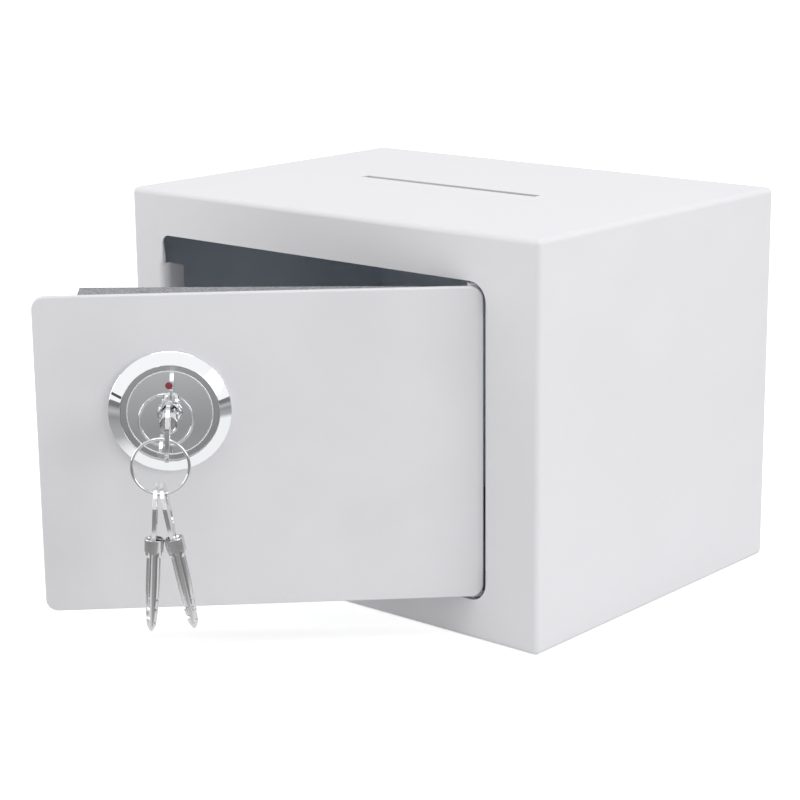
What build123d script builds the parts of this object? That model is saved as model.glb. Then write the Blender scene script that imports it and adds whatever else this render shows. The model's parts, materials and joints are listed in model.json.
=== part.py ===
from build123d import *
import math
import os

# A small sheet steel deposit safe with a folded cabinet, a slot in its top,
# a hinged door, a dial lock worked by a cross key, and two spare keys on a ring.
# Units are millimetres. X runs to the right, Y to the back and Z up. The origin
# is the centre of the underside. The door is drawn closed and then swung open.

# Cabinet
WIDTH = 230.0
DEPTH = 170.0
HEIGHT = 170.0
SHEET = 1.5
FOLD_RADIUS = 2.5
SEAM_GAP = 0.1

# Door opening in the front
OPENING_LEFT = 20.0
OPENING_RIGHT = 28.5
OPENING_BELOW = 17.0
OPENING_ABOVE = 20.0
ROLL_RADIUS = 4.0
LOCK_JAMB_DEPTH = 14.0
LOCK_JAMB_RETURN = 10.0
RETURN_RADIUS = 3.0
HINGE_JAMB_DEPTH = 10.0
JAMB_END = 13.0
JAMB_SLANT = 3.5
RELIEF_LEFT = 1.0
RELIEF_RIGHT = 2.1
RELIEF_RADIUS_LEFT = 4.0
RELIEF_RADIUS_RIGHT = 8.0

# Deposit slot in the top
SLOT_LENGTH = 100.0
SLOT_WIDTH = 4.4
SLOT_SHIFT = -2.5
SLOT_FROM_FRONT = 88.0

# Anchor holes
ANCHOR_RADIUS = 4.5
ANCHOR_SPACING = 110.0
BACK_ANCHOR_HEIGHT = 85.0
FLOOR_ANCHOR_FROM_FRONT = 105.0

# Floor mat
MAT_THICKNESS = 2.0
MAT_MARGIN = 1.0
MAT_HOLE_MARGIN = 1.5

# Door plate
DOOR_OPEN_ANGLE = 45.0
PLATE = 3.0
DOOR_PROUD = 1.8
DOOR_GAP_LOCK = 1.0
DOOR_GAP_HINGE = 3.2
DOOR_GAP_HEIGHT = 2.0
DOOR_CORNER = 5.0
DOOR_EDGE = 0.6

# Door hinge
HINGE_FROM_EDGE = 3.0
HINGE_FROM_FACE = 5.2
HINGE_PIN_RADIUS = 1.5
HINGE_PIN_GRIP = 12.0
HINGE_RUNNING = 0.06
SEAT_GAP = 0.02
HINGE_BLOCK_WIDTH = 5.6
HINGE_BLOCK_BEHIND_PIN = 2.1
HINGE_BLOCK_HEIGHT = 16.0
HINGE_BLOCK_REACH = 1.0
WASHER = 0.9
WASHER_RADIUS = 2.0
BRACKET = 3.0
BRACKET_WIDTH = 22.0
BRACKET_REACH = 10.0
BRACKET_LEG = 9.0
BRACKET_LEG_THICKNESS = 2.0
PIN_END_GAP = 0.3

# Stop tabs behind the door's lock edge
STOP_THICKNESS = 1.5
STOP_HEIGHT = 14.0
STOP_REACH = 6.5
STOP_DEPTH = 7.0
STOP_HEIGHTS = (72.0, 112.0)

# Pan on the back of the door
PAN_SHEET = 1.0
PAN_DEPTH_LOCK = 32.5
PAN_DEPTH_HINGE = 19.1
PAN_FROM_LOCK_EDGE = 16.7
PAN_FROM_HINGE_EDGE = 24.0
PAN_INSET = 2.8
PAN_FLANGE = 10.0
STUD_RADIUS = 2.0
STUD_LENGTH = 5.5
STUD_FROM_END = 21.0
STUD_CLEARANCE = 0.3
STUD_NUT_ACROSS = 7.0
STUD_NUT_HEIGHT = 3.2

# Lock, placed from the plate's lock edge and top edge
LOCK_FROM_EDGE = 52.5
LOCK_FROM_TOP = 46.7
BEZEL_RADIUS = 24.4
BEZEL_LIP_RADIUS = 19.6
BEZEL_BAND_RADIUS = 19.4
BEZEL_BORE = 17.4
BEZEL_HEIGHT = 5.6
BEZEL_BORE_HEIGHT = 4.4
BEZEL_EDGE = 2.1
BEZEL_FLOOR = 1.0
INDEX_ANGLE = 160.0
INDEX_LENGTH = 5.2
INDEX_WIDTH = 1.1
INDEX_DEPTH = 0.4
DIAL_GAP = 0.3
DIAL_RECESS = 0.2
DIAL_THICKNESS = 2.1
DIAL_RIM = 0.4
DOT_RADIUS = 1.45
DOT_HEIGHT = 11.0
DOT_DEPTH = 0.4
HOUSING_RADIUS = 12.5
HOUSING_FLANGE_RADIUS = 16.8
HOUSING_FLANGE = 1.0
HOUSING_END = 16.0
PLATE_BORE_CLEARANCE = 0.2
LOCK_NUT_ACROSS = 32.0
LOCK_NUT_HEIGHT = 4.0
SLEEVE_WALL = 1.0
SLEEVE_GAP = 0.2
PLUG_RADIUS = 6.0
PLUG_NOSE_RADIUS = 4.9
PLUG_NOSE_PROUD = 0.4
PLUG_RUNNING = 0.05
PIN_RADIUS = 0.85
PIN_CLEARANCE = 0.08
PIN_TIP_RADIUS = 3.6
DRIVER_LENGTH = 2.6
PIN_ROWS = (9.0, 12.5)
SPRING_WALL = 0.3
CAM_THICKNESS = 2.4
CAM_RADIUS = 8.6
CAM_SQUARE = 5.0
CAM_NUT_ACROSS = 5.5
CAM_NUT_HEIGHT = 1.8
STUB_RADIUS = 1.5
STUB_LENGTH = 2.0
CAM_PIN_ORBIT = 5.6
CAM_PIN_RADIUS = 1.5
CAM_PIN_START = 55.0
CAM_PIN_REACH = 1.0
AXIAL_GAP = 0.2

# Bolt and its carrier
BOLT_FROM_TOP = 97.0
BOLT_FROM_FACE = 22.0
BOLT_RADIUS = 8.0
BOLT_LENGTH = 27.5
BOLT_CHAMFER = 2.0
BOLT_RUNNING = 0.08
BOLT_SHORT_OF_EDGE = 1.0
BOLT_STRIKE_GAP = 0.6
BOLT_SLOT = 8.0
RIVET_RADIUS = 1.5
RIVET_SHORT = 0.4
CARRIER = 2.0
CARRIER_WIDTH = 26.0
CARRIER_ABOVE_LOCK = 15.0
CARRIER_BELOW_BOLT = 9.0
CARRIER_TONGUE = 10.0
YOKE_CLEARANCE = 0.25
YOKE_END = 0.5
POST_LEFT_OF_LOCK = 4.0
POST_HEIGHTS_ABOVE_BOLT = (1.0, 29.0)
POST_RADIUS = 4.5
NECK_RADIUS = 2.5
POST_GROOVE = 0.8
POST_GROOVE_RADIUS = 2.0
POST_TAIL = 0.8
CARRIER_GAP = 0.1
CLIP_PLAY = 0.4
CLIP_RADIUS = 4.2
CLIP_MOUTH = 3.0
GUIDE_PLATE = 3.0
GUIDE_HEIGHT = 22.0
GUIDE_FOOT = 10.0
GUIDE_GAP = 0.3
PAN_BOLT_GAP = 0.4

# Cross key
KEY_TIP_DEPTH = 18.5
KEY_FIN = 1.5
KEY_SPAN = 6.2
KEY_CORE = 1.6
KEY_FIN_TURN = 45.0
KEY_BLADE = 31.0
KEY_TOOTHED = 16.0
KEY_TIP_RADIUS = 1.0
KEY_POINT = 3.0
KEY_POINT_RADIUS = 2.4
KEY_NOTCHES = (3.4, 6.6, 9.8, 13.0)
KEY_NOTCH_DEPTHS = (1.1, 0.8, 1.1, 0.6)
KEY_NOTCH_WIDTH = 2.2
KEYWAY_CLEARANCE = 0.25
KEY_COLLAR_RADIUS = 3.8
KEY_COLLAR = 6.5
BOW_LENGTH = 21.5
BOW_WIDTH = 22.0
BOW_THICKNESS = 1.6
BOW_CORNER = 8.0
BOW_SUNK = 3.7
BOW_TANG = 6.6
BOW_HOLE_RADIUS = 2.6
BOW_HOLE_FROM_END = 5.5
BOW_PANEL_DEPTH = 0.3
BOW_PANEL_WIDTH = 14.0
BOW_PANEL_LENGTH = 8.0
BOW_PANEL_CORNER = 3.0

# Key ring and the spare keys on it
RING_RADIUS = 10.9
RING_WIRE = 0.6
RING_GAP = 0.35
RING_SHIFT = -3.0
KEY_PLAY_TURN = 3.0
SPARE_SHIFTS = (-2.3, 1.1)
SPARE_TILTS = (-3.9, 10.5)

# Places worked out from the sizes above
FRONT = -DEPTH / 2
BACK = DEPTH / 2
OPEN_X0 = -WIDTH / 2 + OPENING_LEFT
OPEN_X1 = WIDTH / 2 - OPENING_RIGHT
OPEN_Z0 = OPENING_BELOW
OPEN_Z1 = HEIGHT - OPENING_ABOVE
FACE = FRONT - DOOR_PROUD
PLATE_BACK = FACE + PLATE
PLATE_X0 = OPEN_X0 + DOOR_GAP_LOCK
PLATE_X1 = OPEN_X1 - DOOR_GAP_HINGE
PLATE_Z0 = OPEN_Z0 + DOOR_GAP_HEIGHT
PLATE_Z1 = OPEN_Z1 - DOOR_GAP_HEIGHT
HINGE_X = PLATE_X1 - HINGE_FROM_EDGE
HINGE_Y = FACE + HINGE_FROM_FACE
LOCK_X = PLATE_X0 + LOCK_FROM_EDGE
LOCK_Z = PLATE_Z1 - LOCK_FROM_TOP
BOLT_Z = PLATE_Z1 - BOLT_FROM_TOP
BOLT_X0 = PLATE_X0 + BOLT_SHORT_OF_EDGE
BOLT_THROW = 2 * CAM_PIN_ORBIT * math.cos(math.radians(CAM_PIN_START))
PAN_X0 = PLATE_X0 + PAN_FROM_LOCK_EDGE
PAN_X1 = PLATE_X1 - PAN_FROM_HINGE_EDGE
DIAL_FACE = -(BEZEL_BORE_HEIGHT - DIAL_RECESS)
DIAL_BACK = DIAL_FACE + DIAL_THICKNESS
PLUG_END = HOUSING_END + AXIAL_GAP
CAM_END = PLUG_END + CAM_THICKNESS
STUB_END = CAM_END + STUB_LENGTH
CARRIER_FRONT = BOLT_FROM_FACE - CARRIER / 2
CARRIER_BACK = BOLT_FROM_FACE + CARRIER / 2
KEY_TIP = DIAL_FACE + KEY_TIP_DEPTH
KEY_BOW_HOLE = KEY_BLADE + KEY_COLLAR + BOW_LENGTH - BOW_HOLE_FROM_END
KEY_HOLE_DEPTH = KEY_TIP - KEY_BOW_HOLE
RING_HANG = BOW_HOLE_RADIUS - RING_WIRE - RING_GAP
RING_X = LOCK_X + RING_SHIFT
RING_Z = LOCK_Z - RING_HANG - math.sqrt(RING_RADIUS ** 2 - RING_SHIFT ** 2)
QUARTERS = (0, 90, 180, 270)


def block(x0, x1, y0, y1, z0, z1):
    """A box between two corners."""
    size = Box(x1 - x0, y1 - y0, z1 - z0)
    return Pos((x0 + x1) / 2, (y0 + y1) / 2, (z0 + z1) / 2) * size


def deep(depth):
    """The Y of a depth measured from the door's front face."""
    return FACE + depth


def rod_x(radius, x0, x1, y, z):
    """A round bar along X."""
    return Pos((x0 + x1) / 2, y, z) * Rot(0, 90, 0) * Cylinder(radius, x1 - x0)


def rod_y(radius, depth0, depth1, x, z):
    """A round bar along Y, between two depths from the door's face."""
    place = Pos(x, deep((depth0 + depth1) / 2), z)
    return place * Rot(90, 0, 0) * Cylinder(radius, depth1 - depth0)


def rod_z(radius, z0, z1, x, y):
    """A round bar along Z."""
    return Pos(x, y, (z0 + z1) / 2) * Cylinder(radius, z1 - z0)


def hex_y(across, depth0, depth1, x, z):
    """A hexagonal bar along Y, by its size across flats."""
    outline = RegularPolygon(across / math.sqrt(3), 6)
    bar = extrude(outline, (depth1 - depth0) / 2, both=True)
    return Pos(x, deep((depth0 + depth1) / 2), z) * Rot(90, 0, 0) * bar


def radial_rods(radius, r0, r1):
    """Round bars that point away from the lock's axis, four to a row."""
    rods = []
    for depth in PIN_ROWS:
        for angle in QUARTERS:
            rod = Pos((r0 + r1) / 2, 0, 0) * Rot(0, 90, 0) * Cylinder(radius, r1 - r0)
            rods.append(Pos(LOCK_X, deep(depth), LOCK_Z) * Rot(0, angle - KEY_FIN_TURN, 0) * rod)
    return rods


def cut_all(solid, tools):
    """One solid less each tool."""
    for tool in tools:
        solid = solid - tool
    return solid


# Cabinet pieces


def jamb(side, depth, returned):
    """The rolled edge of the opening, which turns in behind the front sheet."""
    reach = LOCK_JAMB_RETURN
    outer = Pos(-reach / 2, depth / 2) * Rectangle(reach, depth)
    rolled = outer.vertices().group_by(Axis.X)[-1].sort_by(Axis.Y)
    outer = fillet(rolled[0], ROLL_RADIUS)
    hollow_depth = depth - 2 * SHEET if returned else depth
    hollow = Pos(-reach / 2 - SHEET, SHEET + hollow_depth / 2) * Rectangle(reach, hollow_depth)
    inside = hollow.vertices().group_by(Axis.X)[-1].sort_by(Axis.Y)
    hollow = fillet(inside[0], ROLL_RADIUS - SHEET)
    if returned:
        outer = fillet(outer.vertices().group_by(Axis.X)[-1].sort_by(Axis.Y)[-1], RETURN_RADIUS)
        inside = hollow.vertices().group_by(Axis.X)[-1].sort_by(Axis.Y)
        hollow = fillet(inside[-1], RETURN_RADIUS - SHEET)
    height = OPEN_Z1 - OPEN_Z0 - 2 * JAMB_END
    strip = extrude(outer - hollow, height / 2, both=True)
    middle = (OPEN_Z0 + OPEN_Z1) / 2
    if side == "lock":
        return Pos(OPEN_X0, FRONT, middle) * strip
    return Pos(OPEN_X1, FRONT, middle) * strip.mirror(Plane.YZ)


def jamb_end_cuts():
    """Wedges that slant the ends of the lock side jamb."""
    z0 = OPEN_Z0 + JAMB_END
    z1 = OPEN_Z1 - JAMB_END
    y0 = FRONT + ROLL_RADIUS
    y1 = FRONT + LOCK_JAMB_DEPTH + SHEET
    width = LOCK_JAMB_RETURN + 2 * SHEET
    cuts = []
    for edge, slant in ((z1, -JAMB_SLANT), (z0, JAMB_SLANT)):
        wedge = make_face(Polyline((y0, edge), (y1, edge), (y1, edge + slant), close=True))
        prism = extrude(Plane.YZ * wedge, width / 2, both=True)
        cuts.append(Pos(OPEN_X0 - width / 2 + SHEET, 0, 0) * prism)
    return cuts


def opening_cut():
    """The hole in the front sheet, wider where the jambs roll in."""
    x0 = OPEN_X0 - RELIEF_LEFT
    x1 = OPEN_X1 + RELIEF_RIGHT
    hole = block(x0, x1, FRONT - SHEET, FRONT + 2 * SHEET, OPEN_Z0, OPEN_Z1)
    corners = hole.edges().filter_by(Axis.Y).group_by(Axis.X)
    hole = fillet(corners[0], RELIEF_RADIUS_LEFT)
    corners = hole.edges().filter_by(Axis.Y).group_by(Axis.X)
    hole = fillet(corners[-1], RELIEF_RADIUS_RIGHT)
    rolled = block(OPEN_X0 - ROLL_RADIUS, OPEN_X1 + ROLL_RADIUS, FRONT - SHEET,
                   FRONT + 2 * SHEET, OPEN_Z0 + JAMB_END, OPEN_Z1 - JAMB_END)
    return hole + rolled


def anchor_points():
    """The X of each anchor hole."""
    return (-ANCHOR_SPACING / 2, ANCHOR_SPACING / 2)


def make_body_shell():
    """Front, top, bottom and sides, folded from sheet and open at the back."""
    outer = block(-WIDTH / 2, WIDTH / 2, FRONT, BACK, 0, HEIGHT)
    folds = outer.edges().filter_by(Axis.Y) + outer.faces().sort_by(Axis.Y)[0].edges()
    outer = fillet(folds, FOLD_RADIUS)
    inner = block(-WIDTH / 2 + SHEET, WIDTH / 2 - SHEET, FRONT + SHEET, BACK + SHEET,
                  SHEET, HEIGHT - SHEET)
    folds = inner.edges().filter_by(Axis.Y) + inner.faces().sort_by(Axis.Y)[0].edges()
    inner = fillet(folds, FOLD_RADIUS - SHEET)
    shell = outer - inner - opening_cut()
    shell = shell + jamb("lock", LOCK_JAMB_DEPTH, True) + jamb("hinge", HINGE_JAMB_DEPTH, False)
    strike = rod_x(BOLT_RADIUS + BOLT_STRIKE_GAP, OPEN_X0 - LOCK_JAMB_RETURN - SHEET, OPEN_X0 + SHEET,
                   deep(BOLT_FROM_FACE), BOLT_Z)
    shell = cut_all(shell, jamb_end_cuts() + [strike])
    slot_y = FRONT + SLOT_FROM_FRONT
    shell = shell - block(SLOT_SHIFT - SLOT_LENGTH / 2, SLOT_SHIFT + SLOT_LENGTH / 2,
                          slot_y - SLOT_WIDTH / 2, slot_y + SLOT_WIDTH / 2,
                          HEIGHT - 2 * SHEET, HEIGHT + SHEET)
    floor_y = FRONT + FLOOR_ANCHOR_FROM_FRONT
    holes = [rod_z(ANCHOR_RADIUS, -SHEET, 2 * SHEET, x, floor_y) for x in anchor_points()]
    return cut_all(shell, holes)


def make_back_panel():
    """The plate that closes the back, let in between the walls."""
    margin = SHEET + SEAM_GAP
    panel = block(-WIDTH / 2 + margin, WIDTH / 2 - margin, BACK - SHEET, BACK,
                  margin, HEIGHT - margin)
    panel = fillet(panel.edges().filter_by(Axis.Y), FOLD_RADIUS - SHEET)
    holes = []
    for x in anchor_points():
        hole = Pos(x, BACK, BACK_ANCHOR_HEIGHT) * Rot(90, 0, 0) * Cylinder(ANCHOR_RADIUS, 4 * SHEET)
        holes.append(hole)
    return cut_all(panel, holes)


def make_floor_mat():
    """The loose mat on the floor, holed over the anchor holes."""
    side = WIDTH / 2 - SHEET - MAT_MARGIN
    mat = block(-side, side, FRONT + SHEET + MAT_MARGIN, BACK - SHEET - MAT_MARGIN,
                SHEET, SHEET + MAT_THICKNESS)
    mat = fillet(mat.edges().filter_by(Axis.Z), FOLD_RADIUS)
    floor_y = FRONT + FLOOR_ANCHOR_FROM_FRONT
    radius = ANCHOR_RADIUS + MAT_HOLE_MARGIN
    holes = [rod_z(radius, 0, 2 * MAT_THICKNESS + SHEET, x, floor_y) for x in anchor_points()]
    return cut_all(mat, holes)


def make_hinge_bracket(upper):
    """An angle behind the front sheet that holds one hinge pin."""
    direction = 1 if upper else -1
    start = OPEN_Z1 if upper else OPEN_Z0
    back = FRONT + SHEET
    x0 = HINGE_X - BRACKET_WIDTH / 2
    x1 = HINGE_X + BRACKET_WIDTH / 2
    shelf_end = start + direction * BRACKET
    leg_end = shelf_end + direction * BRACKET_LEG
    shelf = block(x0, x1, back, back + BRACKET_REACH, min(start, shelf_end), max(start, shelf_end))
    leg = block(x0, x1, back, back + BRACKET_LEG_THICKNESS, min(shelf_end, leg_end),
                max(shelf_end, leg_end))
    hole = rod_z(HINGE_PIN_RADIUS + HINGE_RUNNING, min(start, shelf_end), max(start, shelf_end),
                 HINGE_X, HINGE_Y)
    return shelf + leg - hole


def make_hinge_washers():
    """One washer on each pin, between the door's hinge block and its bracket."""
    washers = []
    for z0 in (OPEN_Z0, OPEN_Z1 - WASHER):
        disc = rod_z(WASHER_RADIUS, z0, z0 + WASHER, HINGE_X, HINGE_Y)
        hole = rod_z(HINGE_PIN_RADIUS + HINGE_RUNNING, z0, z0 + WASHER, HINGE_X, HINGE_Y)
        washers.append(disc - hole)
    return washers


def make_door_stops():
    """Two tabs welded to the lock side jamb, which the closed door meets."""
    front = FRONT + SHEET
    tabs = []
    for middle in STOP_HEIGHTS:
        z0 = middle - STOP_HEIGHT / 2
        z1 = middle + STOP_HEIGHT / 2
        face = block(OPEN_X0, OPEN_X0 + STOP_REACH, front, front + STOP_THICKNESS, z0, z1)
        foot = block(OPEN_X0, OPEN_X0 + STOP_THICKNESS, front, front + STOP_DEPTH, z0, z1)
        tabs.append(face + foot)
    return tabs


# Door pieces, drawn closed


def make_door_plate():
    """The thick front plate of the door."""
    plate = block(PLATE_X0, PLATE_X1, FACE, PLATE_BACK, PLATE_Z0, PLATE_Z1)
    plate = fillet(plate.edges().filter_by(Axis.Y), DOOR_CORNER)
    plate = fillet(plate.faces().sort_by(Axis.Y)[0].edges(), DOOR_EDGE)
    bore = rod_y(HOUSING_RADIUS + PLATE_BORE_CLEARANCE, -PLATE, 2 * PLATE, LOCK_X, LOCK_Z)
    return plate - bore


def hinge_block_span(upper):
    """The lowest and highest Z of one hinge block."""
    if upper:
        top = PLATE_Z1 + HINGE_BLOCK_REACH
        return top - HINGE_BLOCK_HEIGHT, top
    bottom = PLATE_Z0 - HINGE_BLOCK_REACH
    return bottom, bottom + HINGE_BLOCK_HEIGHT


def hinge_pin_span(upper):
    """The lowest and highest Z of one hinge pin."""
    if upper:
        return PLATE_Z1 + HINGE_BLOCK_REACH - HINGE_PIN_GRIP, OPEN_Z1 + BRACKET - PIN_END_GAP
    return OPEN_Z0 - BRACKET + PIN_END_GAP, PLATE_Z0 - HINGE_BLOCK_REACH + HINGE_PIN_GRIP


def make_hinge_blocks():
    """Two blocks welded behind the plate, each bored for a hinge pin."""
    blocks = []
    for upper in (False, True):
        z0, z1 = hinge_block_span(upper)
        body = block(HINGE_X - HINGE_BLOCK_WIDTH / 2, HINGE_X + HINGE_BLOCK_WIDTH / 2,
                     PLATE_BACK, HINGE_Y + HINGE_BLOCK_BEHIND_PIN, z0, z1)
        p0, p1 = hinge_pin_span(upper)
        blocks.append(body - rod_z(HINGE_PIN_RADIUS + SEAT_GAP, p0, p1, HINGE_X, HINGE_Y))
    return blocks


def make_hinge_pin(upper):
    """A hinge pin with a chamfered outer end."""
    z0, z1 = hinge_pin_span(upper)
    pin = rod_z(HINGE_PIN_RADIUS, z0, z1, HINGE_X, HINGE_Y)
    ends = pin.edges().filter_by(GeomType.CIRCLE).sort_by(Axis.Z)
    return chamfer(ends[-1] if upper else ends[0], HINGE_PIN_RADIUS / 5)


def pan_depth(x):
    """How far the pan's back stands behind the door's face at one X."""
    share = (x - PAN_X0) / (PAN_X1 - PAN_X0)
    return PAN_DEPTH_LOCK + share * (PAN_DEPTH_HINGE - PAN_DEPTH_LOCK)


def stud_points():
    """Where the studs that hold the pan stand, as X and Z."""
    z0 = PLATE_Z0 + STUD_FROM_END
    z1 = PLATE_Z1 - STUD_FROM_END
    x0 = PAN_X0 - PAN_FLANGE / 2
    x1 = PAN_X1 + PAN_FLANGE / 2
    return [(x, z) for x in (x0, x1) for z in (z0, z1)]


def pan_prism(x0, x1, wall, front, z0, z1):
    """A wedge that follows the pan's back, less a wall."""
    plan = make_face(Polyline((x0, front), (x0, deep(pan_depth(x0) - wall)),
                              (x1, deep(pan_depth(x1) - wall)), (x1, front), close=True))
    return Pos(0, 0, z0) * extrude(plan, z1 - z0)


def make_door_pan():
    """The wedge shaped cover over the boltwork, with a flange at each end."""
    z0 = PLATE_Z0 + PAN_INSET
    z1 = PLATE_Z1 - PAN_INSET
    outer = pan_prism(PAN_X0, PAN_X1, 0, PLATE_BACK, z0, z1)
    inner = pan_prism(PAN_X0 + PAN_SHEET, PAN_X1 - PAN_SHEET, PAN_SHEET, PLATE_BACK - PAN_SHEET,
                      z0 + PAN_SHEET, z1 - PAN_SHEET)
    flanges = (block(PAN_X0 - PAN_FLANGE, PAN_X0 + PAN_SHEET, PLATE_BACK, PLATE_BACK + PAN_SHEET, z0, z1)
               + block(PAN_X1 - PAN_SHEET, PAN_X1 + PAN_FLANGE, PLATE_BACK,
                       PLATE_BACK + PAN_SHEET, z0, z1))
    pan = outer - inner + flanges
    holes = [rod_y(STUD_RADIUS + STUD_CLEARANCE, 0, 2 * PLATE, x, z) for x, z in stud_points()]
    bolt_hole = rod_x(BOLT_RADIUS + PAN_BOLT_GAP, PAN_X0 - PAN_SHEET, PAN_X0 + 2 * PAN_SHEET,
                      deep(BOLT_FROM_FACE), BOLT_Z)
    return cut_all(pan, holes + [bolt_hole])


def make_pan_studs():
    """Weld studs on the back of the plate."""
    return [rod_y(STUD_RADIUS, PLATE, PLATE + STUD_LENGTH, x, z) for x, z in stud_points()]


def make_pan_nuts():
    """Hexagon nuts that hold the pan on its studs."""
    start = PLATE + PAN_SHEET
    nuts = []
    for x, z in stud_points():
        nut = hex_y(STUD_NUT_ACROSS, start, start + STUD_NUT_HEIGHT, x, z)
        nuts.append(nut - rod_y(STUD_RADIUS + SEAT_GAP, start - 1, start + 2 * STUD_NUT_HEIGHT, x, z))
    return nuts


# Lock pieces that stay with the door


def lathe(points):
    """A solid of revolution about the lock's axis, from radius and depth pairs."""
    outline = make_face(Polyline(*[(r, -depth) for r, depth in points], close=True))
    turned = revolve(outline, Axis.Y)
    return Pos(LOCK_X, FACE, LOCK_Z) * Rot(180, 0, 0) * turned


def bezel_blank():
    """The bezel before its index mark is let in."""
    return lathe([(HOUSING_RADIUS + SEAT_GAP, 0), (BEZEL_RADIUS, 0), (BEZEL_RADIUS, -BEZEL_EDGE),
                  (BEZEL_LIP_RADIUS, -BEZEL_HEIGHT), (BEZEL_BAND_RADIUS, -BEZEL_HEIGHT),
                  (BEZEL_BORE, -BEZEL_BORE_HEIGHT), (BEZEL_BORE, -BEZEL_FLOOR),
                  (HOUSING_RADIUS + SEAT_GAP, -BEZEL_FLOOR)])


def index_bar():
    """A bar along the bezel's slope, half of it below the surface."""
    run = BEZEL_RADIUS - BEZEL_LIP_RADIUS
    rise = BEZEL_HEIGHT - BEZEL_EDGE
    slope = math.degrees(math.atan2(rise, run))
    middle = Pos(BEZEL_RADIUS - run / 2, -BEZEL_EDGE - rise / 2, 0) * Rot(0, 0, slope)
    bar = middle * Box(INDEX_LENGTH, 2 * INDEX_DEPTH, INDEX_WIDTH)
    return Pos(LOCK_X, FACE, LOCK_Z) * Rot(0, -INDEX_ANGLE, 0) * bar


def make_lock_bezel():
    """The chromed ring with a sloping face and a floor under the lock's flange."""
    return bezel_blank() - index_bar()


def make_index_mark():
    """The black mark let into the bezel, flush with its slope."""
    return bezel_blank() & index_bar()


def make_lock_housing():
    """The fixed lock body, with radial holes for its pins."""
    bore = PLUG_RADIUS + PLUG_RUNNING
    flange = -BEZEL_FLOOR - HOUSING_FLANGE
    body = lathe([(bore, flange), (HOUSING_FLANGE_RADIUS, flange), (HOUSING_FLANGE_RADIUS, -BEZEL_FLOOR),
                  (HOUSING_RADIUS, -BEZEL_FLOOR), (HOUSING_RADIUS, HOUSING_END), (bore, HOUSING_END)])
    return cut_all(body, radial_rods(PIN_RADIUS + PIN_CLEARANCE, PLUG_RADIUS - 1, HOUSING_RADIUS + 1))


def make_lock_nut():
    """The hexagon nut that clamps the lock to the plate."""
    nut = hex_y(LOCK_NUT_ACROSS, PLATE, PLATE + LOCK_NUT_HEIGHT, LOCK_X, LOCK_Z)
    return nut - rod_y(HOUSING_RADIUS + SEAT_GAP, 0, HOUSING_END, LOCK_X, LOCK_Z)


def make_lock_sleeve():
    """The sleeve that closes the pin holes from outside."""
    inner = HOUSING_RADIUS + SEAT_GAP
    start = PLATE + LOCK_NUT_HEIGHT + SLEEVE_GAP
    end = HOUSING_END - SLEEVE_GAP
    return lathe([(inner, start), (inner + SLEEVE_WALL, start), (inner + SLEEVE_WALL, end), (inner, end)])


def make_driver_pins():
    """The outer pins, which wait in the housing."""
    start = PLUG_RADIUS + 2 * PIN_CLEARANCE
    return radial_rods(PIN_RADIUS, start, start + DRIVER_LENGTH)


def make_pin_springs():
    """Plain sleeves that stand for the coil springs behind the outer pins."""
    start = PLUG_RADIUS + 2 * PIN_CLEARANCE + DRIVER_LENGTH
    outer = radial_rods(PIN_RADIUS, start, HOUSING_RADIUS)
    inner = radial_rods(PIN_RADIUS - SPRING_WALL, start - 1, HOUSING_RADIUS + 1)
    return [o - i for o, i in zip(outer, inner)]


# Lock pieces that turn with the key


def keyway():
    """The cross shaped hole for the key."""
    length = KEY_TIP + KEYWAY_CLEARANCE - (DIAL_FACE - 2 * PLUG_NOSE_PROUD)
    middle = deep((KEY_TIP + KEYWAY_CLEARANCE + DIAL_FACE - 2 * PLUG_NOSE_PROUD) / 2)
    span = KEY_SPAN + 2 * KEYWAY_CLEARANCE
    slot = KEY_FIN + 2 * KEYWAY_CLEARANCE
    across = Box(span, length, slot) + Box(slot, length, span)
    across = across + Rot(90, 0, 0) * Cylinder(KEY_CORE + KEYWAY_CLEARANCE, length)
    return Pos(LOCK_X, middle, LOCK_Z) * Rot(0, -KEY_FIN_TURN, 0) * across


def make_plug():
    """The turning core, with a nose, a square tail and a threaded stub."""
    nose = rod_y(PLUG_NOSE_RADIUS, DIAL_FACE - PLUG_NOSE_PROUD, DIAL_BACK, LOCK_X, LOCK_Z)
    core = rod_y(PLUG_RADIUS, DIAL_BACK, PLUG_END, LOCK_X, LOCK_Z)
    half = CAM_SQUARE / 2
    tail = block(LOCK_X - half, LOCK_X + half, deep(PLUG_END), deep(CAM_END), LOCK_Z - half, LOCK_Z + half)
    stub = rod_y(STUB_RADIUS, CAM_END, STUB_END, LOCK_X, LOCK_Z)
    plug = nose + core + tail + stub - keyway()
    return cut_all(plug, radial_rods(PIN_RADIUS + PIN_CLEARANCE, KEY_FIN, PLUG_RADIUS + 1))


def make_key_pins():
    """The inner pins, which turn with the plug."""
    return radial_rods(PIN_RADIUS, PIN_TIP_RADIUS, PLUG_RADIUS - PIN_CLEARANCE)


def make_dial():
    """The polished disc around the keyhole."""
    disc = rod_y(BEZEL_BORE - DIAL_GAP, DIAL_FACE, DIAL_BACK, LOCK_X, LOCK_Z)
    disc = chamfer(disc.edges().filter_by(GeomType.CIRCLE).sort_by(Axis.Y)[0], DIAL_RIM)
    hole = rod_y(PLUG_NOSE_RADIUS + SEAT_GAP, DIAL_FACE - 1, DIAL_BACK, LOCK_X, LOCK_Z)
    pocket = rod_y(DOT_RADIUS + SEAT_GAP, DIAL_FACE - 1, DIAL_FACE + DOT_DEPTH, LOCK_X, LOCK_Z + DOT_HEIGHT)
    return disc - hole - pocket


def make_dial_dot():
    """The red marker let into the dial."""
    return rod_y(DOT_RADIUS, DIAL_FACE, DIAL_FACE + DOT_DEPTH, LOCK_X, LOCK_Z + DOT_HEIGHT)


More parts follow.
